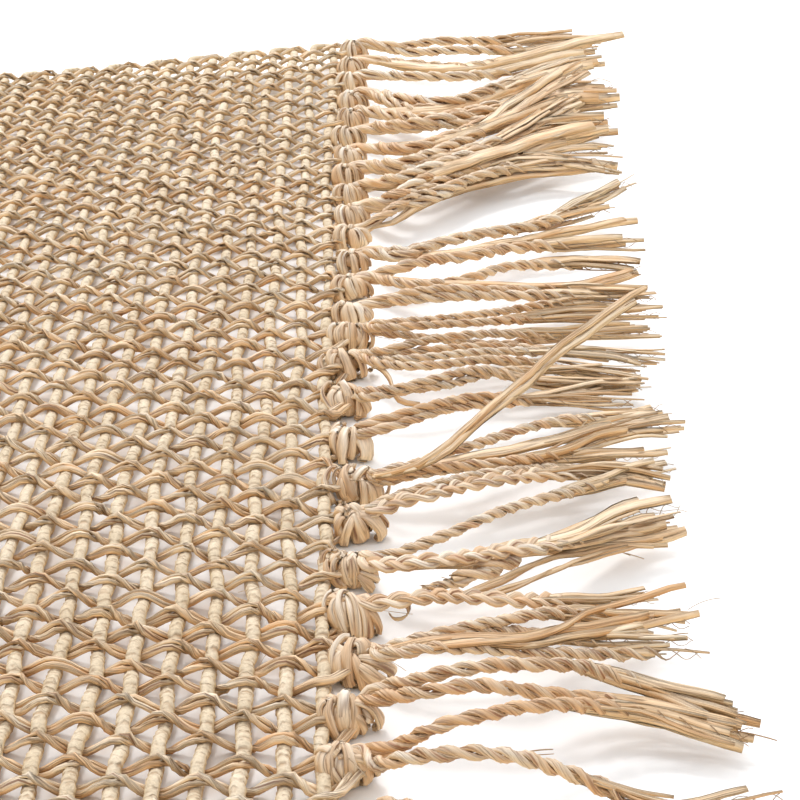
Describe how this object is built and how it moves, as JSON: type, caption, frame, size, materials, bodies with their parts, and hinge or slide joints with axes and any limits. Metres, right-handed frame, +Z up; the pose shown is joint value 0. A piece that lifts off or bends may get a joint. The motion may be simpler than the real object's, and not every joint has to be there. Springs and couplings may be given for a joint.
{
  "type": "seagrass placemat",
  "caption": "Flat rectangular placemat woven openly from rush cords and twisted grass strands, with knotted fringe along both short edges.",
  "frame": {"origin": "on the table under the middle of the woven panel", "axes": "+X along the thin strands, the mat's long side, towards the right fringe; +Y along the thick cords, the short side; +Z up"},
  "size_m": [0.4849, 0.3434, 0.0089],
  "materials": {
    "woven_grass": "matt natural dried grass, cream to tan",
    "fringe_grass": "matt natural dried grass, tan, lightly polished where folded"
  },
  "bodies": {
    "root": {"woven_panel": "woven_grass", "fringe_right": "fringe_grass", "fringe_left": "fringe_grass"}
  },
  "joints": []
}
